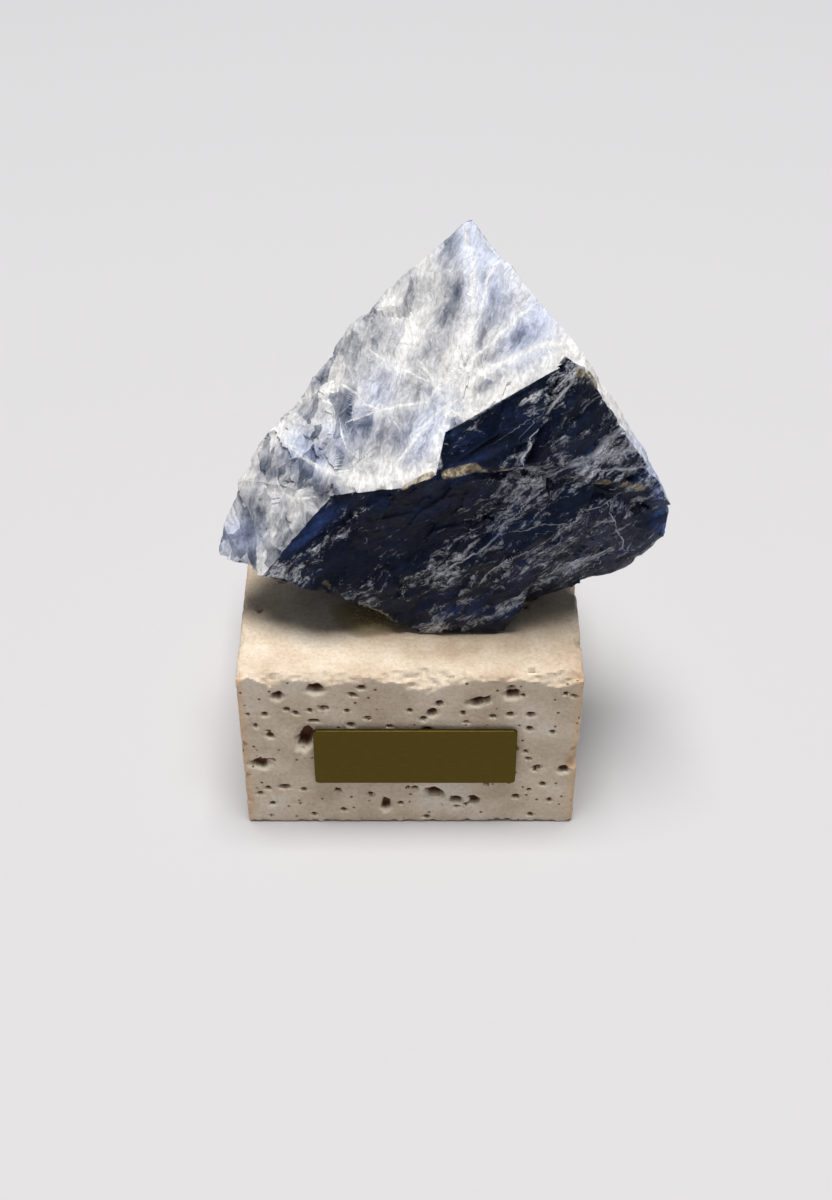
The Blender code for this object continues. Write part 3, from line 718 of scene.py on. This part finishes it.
def plate_piece(material):
    """A rectangle with corner arcs, carried through its thickness to a small round at its front edge."""
    turns = np.radians(np.concatenate([np.linspace(q, q + 90, CORNER_STEPS) for q in (0, 90, 180, 270)]))
    corner_x = PLATE_X + np.repeat([1, -1, -1, 1], CORNER_STEPS) * (PLATE_WIDTH / 2 - PLATE_CORNER)
    corner_z = PLATE_Z + np.repeat([1, 1, -1, -1], CORNER_STEPS) * (PLATE_HEIGHT / 2 - PLATE_CORNER)
    round_x = PLATE_CORNER - PLATE_ROUND
    round_y = PLATE_ROUND - PLATE_THICKNESS
    arc = np.radians(np.linspace(0, 90, 5))
    profile = [(PLATE_CORNER, 0)]
    profile += [(round_x + PLATE_ROUND * math.cos(t), round_y - PLATE_ROUND * math.sin(t)) for t in arc]
    profile += [(PLATE_CORNER / 3, -PLATE_THICKNESS)]
    rings = []
    for radius, depth in profile:
        y = np.full(len(turns), -BLOCK_HALF - GLUE_GAP + depth)
        rings.append(np.stack([corner_x + radius * np.cos(turns), y, corner_z + radius * np.sin(turns)], 1))
    count = len(turns)
    faces = []
    for level in range(len(rings) - 1):
        faces += between_rings(level * count, (level + 1) * count, count).tolist()
    faces.append(list(range(len(rings) * count - 1, (len(rings) - 1) * count - 1, -1)))
    faces.append(list(range(count)))
    return piece("bare_plate", np.concatenate(rings), faces, material)


def glue_piece(material):
    """A flattened bead: a disc of rings and spokes, its height falling to nothing at an uneven rim, and kept
    below the stone where that overhangs it."""
    turns = np.linspace(0, 2 * math.pi, GLUE_SPOKES, endpoint=False)
    shares = np.sqrt(np.linspace(0, 1, GLUE_RINGS + 1)[1:])
    share, turn = (grid.ravel() for grid in np.meshgrid(shares, turns, indexing="ij"))
    rim = 1 + 0.10 * np.sin(3 * turn + 0.6) + 0.06 * np.sin(7 * turn + 2.1)
    disc = GLUE_MIDDLE + GLUE_HALF * (rim * share)[:, None] * np.stack([np.cos(turn), np.sin(turn)], 1)
    x, y = np.append(disc, [GLUE_MIDDLE], 0).T
    share = np.append(share, 0)
    lump = np.stack([x, y, np.zeros_like(x)], 1)
    height = (1.15 + 0.25 * layered(lump, size=2.2, seed=91, layers=3)) * np.sqrt(np.clip(1 - share**2, 0, 1))
    bottom = BLOCK_HEIGHT + GLUE_SKIN
    free = np.full(len(x), GLUE_HIGHEST)
    for tried in np.arange(GLUE_SKIN, GLUE_HIGHEST, GLUE_SKIN):
        away = np.stack([x, y, np.full_like(x, bottom + tried)], 1) - STONE_HEART
        far = np.linalg.norm(away, axis=1)
        length, _, _ = reach(away / far[:, None])
        free = np.where((far < length + 0.2) & (free > tried), tried, free)
    top = np.minimum(height, np.maximum(free - GLUE_SKIN, 0.02)) + 0.01
    upper = np.stack([x, y, bottom + top], 1)
    lower = np.stack([x, y, np.full_like(x, bottom)], 1)
    count = len(x)
    faces = []
    for level in range(GLUE_RINGS - 1):
        ring = between_rings(level * GLUE_SPOKES, (level + 1) * GLUE_SPOKES, GLUE_SPOKES)
        faces += ring.tolist() + (ring[:, ::-1] + count).tolist()
    # The innermost ring's edges, joined to the middle.
    inner = between_rings(0, 0, GLUE_SPOKES)[:, 1:3]
    hub = np.full((GLUE_SPOKES, 1), count - 1)
    faces += np.hstack([hub, inner]).tolist() + (np.hstack([hub, inner[:, ::-1]]) + count).tolist()
    outer = (GLUE_RINGS - 1) * GLUE_SPOKES
    faces += between_rings(outer, outer + count, GLUE_SPOKES).tolist()
    thick = np.tile(1 - share**3, 2)
    return piece("glue_bead", np.concatenate([upper, lower]), faces, material, {"thick": thick})


# Materials


# Settings of a node that mixes two colours, and of one that multiplies them.
MIXED = {"out": "Result", "data_type": "RGBA"}
MULTIPLIED = {**MIXED, "blend_type": "MULTIPLY"}


def add_node(tree, kind, sockets=(), operation=None, out=0, stops=(), **settings):
    """Adds a node and hands back one of its outputs, or the node itself for None. Sockets are its inputs, in
    order or by name, as values or as other nodes' outputs. Those of a MapRange are the value, the range it
    comes from and the range it goes to. Stops are the places and hex colours along a colour ramp."""
    made = tree.nodes.new("ShaderNode" + kind)
    if operation:
        made.operation = operation
    for name, value in settings.items():
        setattr(made, name, value)
    for name, value in sockets.items() if isinstance(sockets, dict) else enumerate(sockets):
        if isinstance(value, bpy.types.NodeSocket):
            tree.links.new(value, made.inputs[name])
        else:
            made.inputs[name].default_value = value
    if stops:
        ramp = made.color_ramp.elements
        while len(ramp) < len(stops):
            ramp.new(1)
        for element, (place, colour) in zip(ramp, stops):
            element.position = place
            element.color = linear(colour)
    return made if out is None else made.outputs[out]


def new_material(name):
    """An empty material, what adds a node to it, and the place on the object that its patterns read."""
    made = bpy.data.materials.new(name)
    made.use_nodes = True
    made.node_tree.nodes.clear()
    node = functools.partial(add_node, made.node_tree)
    return made, node, node("TexCoord", out="Object")


def pattern(place, size, detail=0.0, roughness=0.5):
    """A texture's sockets: where it is read, how wide its features are in millimetres, and its detail."""
    return {"Vector": place, "Scale": 1 / (size * MM), "Detail": detail, "Roughness": roughness}


def sodalite():
    """Sodalite: a glassy feldspathoid, navy where freshly broken, with white albite and calcite veins. An old
    break is bruised and frosted to pale grey-blue, with white seams and fine fibres down its slope."""
    made, node, place = new_material("sodalite, fresh and frosted")
    mark = {
        name: node("Attribute", attribute_name=name, out="Fac")
        for name in ("frost", "blue", "across", "vein", "crumbly", *MARKED)
    }
    half = (0.5, 0.5, 0.5)
    shift = node("TexNoise", pattern(place, 3, 4), out=None)
    centred = node("VectorMath", (shift.outputs["Color"], half), "SUBTRACT")
    warped = node("VectorMath", (centred, (2 * MM,) * 3, place), "MULTIPLY_ADD")
    down_slope, up_streak = (
        node("Mapping", {
            "Vector": warped, "Rotation": (0, math.radians(tilt), math.radians(turn)), "Scale": (drawn, 1, 1),
        }, vector_type="TEXTURE")
        for tilt, turn, drawn in ((49.9, -114.8, 2.4), (-43, 0, 3.2))
    )

    # Thin veins: where the place across the nearest one, swayed by noise, is within its half width.
    sway = node("TexNoise", pattern(place, 0.9, 5, 0.65))
    swayed = node("Math", (sway, 3.6, mark["across"]), "MULTIPLY_ADD")
    swayed = node("Math", (swayed, 1.8), "SUBTRACT")
    off_vein = node("Math", (swayed,), "ABSOLUTE")
    vein = node("MapRange", (off_vein, 0.3, 1.7, 1, 0))
    strength = node("MapRange", (shift.outputs["Fac"], 0.36, 0.5, 0.5, 1))
    for share in (mark["vein"], strength):
        vein = node("Math", (vein, share), "MULTIPLY")

    # The frosted slope: clouds, crystals of one tone each, slate hollows and milky parts add up to a tone,
    # and a ramp makes that a colour.
    cloud = node("TexNoise", pattern(down_slope, 2.2, 8, 0.68))
    crystal = node("TexVoronoi", pattern(down_slope, 1.5), out="Color")
    crystal_tone = node("Math", (crystal, 0.55), "SUBTRACT")
    contrast = node("MapRange", (mark["crumbly"], 0, 1, 0.16, 0.5))
    calm = node("MapRange", (cloud, 0.25, 0.75, 0.29, 0.77))
    tone = node("Math", (crystal_tone, contrast, calm), "MULTIPLY_ADD")
    for name, weight in (("slate", -0.2), ("milky", 0.22), ("vein", 0.09)):
        tone = node("Math", (mark[name], weight, tone), "MULTIPLY_ADD")
    pale_stops = [(0.24, "5D6473"), (0.37, "9296A1"), (0.47, "BDBFC6"), (0.57, "DADBDE"), (0.7, "F8F8F7")]
    pale = node("ValToRGB", (tone,), stops=pale_stops)
    sky_share = node("Math", (mark["sky"], 0.75), "MULTIPLY")
    tint = node("Mix", {"Factor": sky_share, "A": linear("F5F4F2"), "B": linear("C6D3F4")}, **MIXED)
    tinted = node("Mix", {"Factor": 1, "A": pale, "B": tint}, **MULTIPLIED)
    to_edge = node("TexVoronoi", pattern(down_slope, 2.2), feature="DISTANCE_TO_EDGE")
    seam = node("MapRange", (to_edge, 0, 0.07, 1, 0))
    seam_here = node("MapRange", (shift.outputs["Fac"], 0.48, 0.6, 0, 0.3))
    seam = node("Math", (seam, seam_here), "MULTIPLY")
    white_share = node("Math", (seam, vein), "MAXIMUM")
    seamed = node("Mix", {"Factor": white_share, "A": tinted, "B": linear("F8F8F7")}, **MIXED)
    fibre = node("TexNoise", pattern(down_slope, 0.3, 4, 0.6))
    fibre_tone = node("MapRange", (fibre, 0.35, 0.6, 0.74, 1.02))
    frosted = node("Mix", {"Factor": 1, "A": seamed, "B": fibre_tone}, **MULTIPLIED)

    # Fresh breaks: navy glass with ragged white flecks drawn out along the streaks, thick in some places.
    depth = node("TexNoise", pattern(up_streak, 1.8, 6, 0.6))
    # Painted light: breaks and places lit up from inside are painted a lighter blue.
    lit = node("Math", (mark["glowing"], 0.8, mark["blue"]), "MULTIPLY_ADD")
    deep = node("Math", (lit, 0.32, depth), "MULTIPLY_ADD")
    navy_stops = [(0.42, "05070D"), (0.57, "0A0F1D"), (0.7, "131D36"), (0.84, "233560"), (1, "4F72AC")]
    navy = node("ValToRGB", (deep,), stops=navy_stops)
    fleck = node("TexNoise", pattern(up_streak, 0.65, 8, 0.75))
    fleck_cloud = node("TexNoise", pattern(up_streak, 3, 3))
    thickness = node("Math", (mark["flecked"], 0.15, fleck), "MULTIPLY_ADD")
    thickness = node("Math", (fleck_cloud, 0.6, thickness), "MULTIPLY_ADD")
    fleck_share = node("MapRange", (thickness, 0.88, 1.06, 0, 0.9))
    grit = node("TexNoise", pattern(up_streak, 0.18, 3, 0.7))
    gritty = node("MapRange", (grit, 0.42, 0.56, 0.3, 1))
    fleck_share = node("Math", (fleck_share, gritty), "MULTIPLY")
    vein_share = node("Math", (vein, 0.55), "MULTIPLY")
    streaked = node("Math", (fleck_share, vein_share), "MAXIMUM")
    # The flecks are white mineral, painted brighter to stand also for the glints that their glassy grains
    # catch.
    fresh = node("Mix", {"Factor": streaked, "A": navy, "B": linear("E6EAF0")}, **MIXED)

    # Where the two meet, and the stains.
    body = node("Mix", {"Factor": mark["frost"], "A": fresh, "B": frosted}, **MIXED)
    stain = node("Math", (mark["stain"], 1.2, sway), "MULTIPLY_ADD")
    stain_share = node("MapRange", (stain, 0.85, 1.15, 0, 0.9))
    stain_stops = [(0.36, "3E3628"), (0.5, "75674F"), (0.64, "CFC3A8")]
    stain_colour = node("ValToRGB", (fleck,), stops=stain_stops)
    stained = node("Mix", {"Factor": stain_share, "A": body, "B": stain_colour}, **MIXED)
    gloss = node("MapRange", (mark["frost"], 0, 1, 0.2, 0.42))

    # Relief in metres: each small crystal tilts its own way, and the clouds or flecks stand out of it.
    small = node("TexVoronoi", pattern(down_slope, 0.7), out=None)
    from_centre = node("VectorMath", (down_slope, small.outputs["Position"]), "SUBTRACT")
    lean = node("VectorMath", (small.outputs["Color"], half), "SUBTRACT")
    tilt = node("VectorMath", (from_centre, lean), "DOT_PRODUCT", out="Value")
    tilted = node("Math", (tilt, 0.45), "MULTIPLY")
    strand = node("Mix", {"Factor": mark["frost"], "A": fleck, "B": cloud}, out="Result")
    relief = node("Math", (strand, 0.25 * MM, tilted), "MULTIPLY_ADD")
    normal = node("Bump", {"Height": relief, "Strength": 1, "Distance": 1})
    surface = node("BsdfPrincipled", {
        "Base Color": stained, "Roughness": gloss, "IOR": 1.48, "Specular IOR Level": 0.35,
        "Specular Tint": linear("8FA8E8"), "Normal": normal,
    })
    node("OutputMaterial", {"Surface": surface}, out=None)
    return made


def travertine():
    """Travertine: porous limestone, sawn and left matte. Cream with faint tan clouds, tan along its arrises,
    painted dark brown shade in its pores and pinholes, and a pale painted highlight on the lower lip of each
    pore."""
    made, node, place = new_material("travertine, sawn matte")
    names = ("pore", "lip_highlight", "arris", "filled")
    pore, lip_highlight, arris, filled = (node("Attribute", attribute_name=name, out="Fac") for name in names)
    cloud = node("TexNoise", pattern(place, 7, 6, 0.65))
    cream_stops = [(0.34, "C5AF96"), (0.5, "D6C4AD"), (0.66, "E5D8C6")]
    cream = node("ValToRGB", (cloud,), stops=cream_stops)
    speck = node("TexNoise", pattern(place, 0.5, 5, 0.75))
    speck_tone = node("MapRange", (speck, 0.33, 0.56, 0.8, 1.03))
    specked = node("Mix", {"Factor": 1, "A": cream, "B": speck_tone}, **MULTIPLIED)
    tan_share = node("Math", (arris, cloud), "MULTIPLY", use_clamp=True)
    warm = node("Mix", {"Factor": tan_share, "A": specked, "B": linear("E0B07C")}, **MIXED)
    # Painted highlight: the lower lip of each pore is pale cream.
    lip_lit = node("Mix", {"Factor": lip_highlight, "A": warm, "B": linear("FBEFD8")}, **MIXED)

    # Painted shade in pinholes 0.3 mm across, but not in the filled top: the middles of some cells 1.5 mm
    # wide.
    cell = node("TexVoronoi", pattern(place, 1.5), out=None)
    open_cell = node("Math", (cell.outputs["Color"], filled), "SUBTRACT")
    chosen = node("Math", (open_cell, 0.5), "GREATER_THAN")
    near = node("MapRange", (cell.outputs["Distance"], 0.07, 0.15, 1, 0))
    pinhole = node("Math", (near, chosen), "MULTIPLY")
    deep = node("MapRange", (pore, 0.25, 0.75))
    hollow = node("Math", (pinhole, deep), "MAXIMUM")
    shown = node("MapRange", (filled, 0, 1, 1, 0.45))
    hollow = node("Math", (hollow, shown), "MULTIPLY")
    # Painted shade: dark brown deep in the pores and in the pinholes, fainter on the filled top.
    pored = node("Mix", {"Factor": hollow, "A": lip_lit, "B": linear("6E472E")}, **MIXED)
    height = node("Math", (pinhole, -1.2, speck), "MULTIPLY_ADD")
    normal = node("Bump", {"Height": height, "Strength": 0.7, "Distance": 0.22 * MM})
    surface = node("BsdfPrincipled", {"Base Color": pored, "Roughness": 0.78, "IOR": 1.5, "Normal": normal})
    node("OutputMaterial", {"Surface": surface}, out=None)
    return made


def dark_gilt():
    """Gilt aluminium foil: dark olive gold with a satin, faintly rolled surface, pale gold at a glance."""
    made, node, place = new_material("gilt aluminium, dark satin")
    rolled = node("Mapping", {"Vector": place, "Scale": (14, 1, 1)}, vector_type="TEXTURE")
    lines = node("TexNoise", pattern(rolled, 0.1, 2))
    gold = node("ValToRGB", (lines,), stops=[(0.3, "4F431C"), (0.7, "584B22")])
    rough = node("MapRange", (lines, 0.3, 0.7, 0.28, 0.36))
    surface = node("BsdfPrincipled", {
        "Base Color": gold, "Metallic": 1, "Specular Tint": linear("E0D8BC"), "Roughness": rough,
    })
    node("OutputMaterial", {"Surface": surface}, out=None)
    return made


def clear_glue():
    """Epoxy glue: a thin clear film, slightly yellow, with a glossy skin and trapped golden specks."""
    made, node, place = new_material("epoxy glue, clear yellowish")
    speck = node("TexNoise", pattern(place, 0.25, 3, 0.7))
    tint = node("ValToRGB", (speck,), stops=[(0.38, "9C8A58"), (0.55, "BCAA78"), (0.68, "F2E6BC")])
    thick = node("Attribute", attribute_name="thick", out="Fac")
    cover = node("MapRange", (thick, 0, 1, 0.05, 0.5))
    normal = node("Bump", {"Height": speck, "Strength": 0.4, "Distance": 0.2 * MM})
    surface = node("BsdfPrincipled", {
        "Base Color": tint, "Roughness": 0.2, "IOR": 1.5, "Alpha": cover, "Normal": normal,
    })
    node("OutputMaterial", {"Surface": surface}, out=None)
    return made


def floor_paint():
    """Matte pale board for the floor."""
    made, node, _ = new_material("matte pale board")
    surface = node("BsdfPrincipled", {"Base Color": linear("C2C2C5"), "Roughness": 0.8})
    node("OutputMaterial", {"Surface": surface}, out=None)
    return made


# The room


FLOOR_HALF = 1500.0


def make_floor():
    corners = np.array([(x, y, 0.0) for x, y in ((-1, -1), (1, -1), (1, 1), (-1, 1))]) * FLOOR_HALF
    floor = piece("floor", corners, [[0, 1, 2, 3]], floor_paint())


def add_light(name, place, aim, size, watts, colour):
    """A square soft light, turned from its place towards the aim."""
    data = bpy.data.lights.new(name, "AREA")
    data.size = size
    data.energy = watts
    data.color = linear(colour)[:3]
    made = bpy.data.objects.new(name, data)
    made.location = place
    made.rotation_euler = (Vector(aim) - Vector(place)).to_track_quat("-Z", "Y").to_euler()
    bpy.context.scene.collection.objects.link(made)


def make_room():
    scene = bpy.context.scene
    world = bpy.data.worlds.new("soft room")
    scene.world = world
    world.use_nodes = True
    background = world.node_tree.nodes["Background"]
    background.inputs["Color"].default_value = linear("DDE3EC")
    background.inputs["Strength"].default_value = 0.25
    scene.view_settings.view_transform = "Standard"
    add_light("key overhead", (0, -0.05, 1.3), (0, 0, 0.04), size=0.6, watts=22.5, colour="FFFCF8")


def make_camera():
    data = bpy.data.cameras.new("camera")
    data.sensor_width = 36
    data.lens = 52
    made = bpy.data.objects.new("camera", data)
    made.location = (0.0007, -0.161, 0.1639)
    made.rotation_euler = (math.radians(48), 0, 0)
    bpy.context.scene.collection.objects.link(made)
    bpy.context.scene.camera = made


def main():
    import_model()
    pieces = {
        "sodalite": (stone_piece(sodalite()), "sodalite"),
        "travertine_block": (block_piece(travertine()), "travertine"),
        "label_plate": (plate_piece(dark_gilt()), "gilt_plate"),
        "adhesive": (glue_piece(clear_glue()), "clear_glue"),
    }
    for cad_node, (made, slot) in pieces.items():
        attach(made, "root")
        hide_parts(cad_node)
    make_floor()
    make_room()
    make_camera()


main()
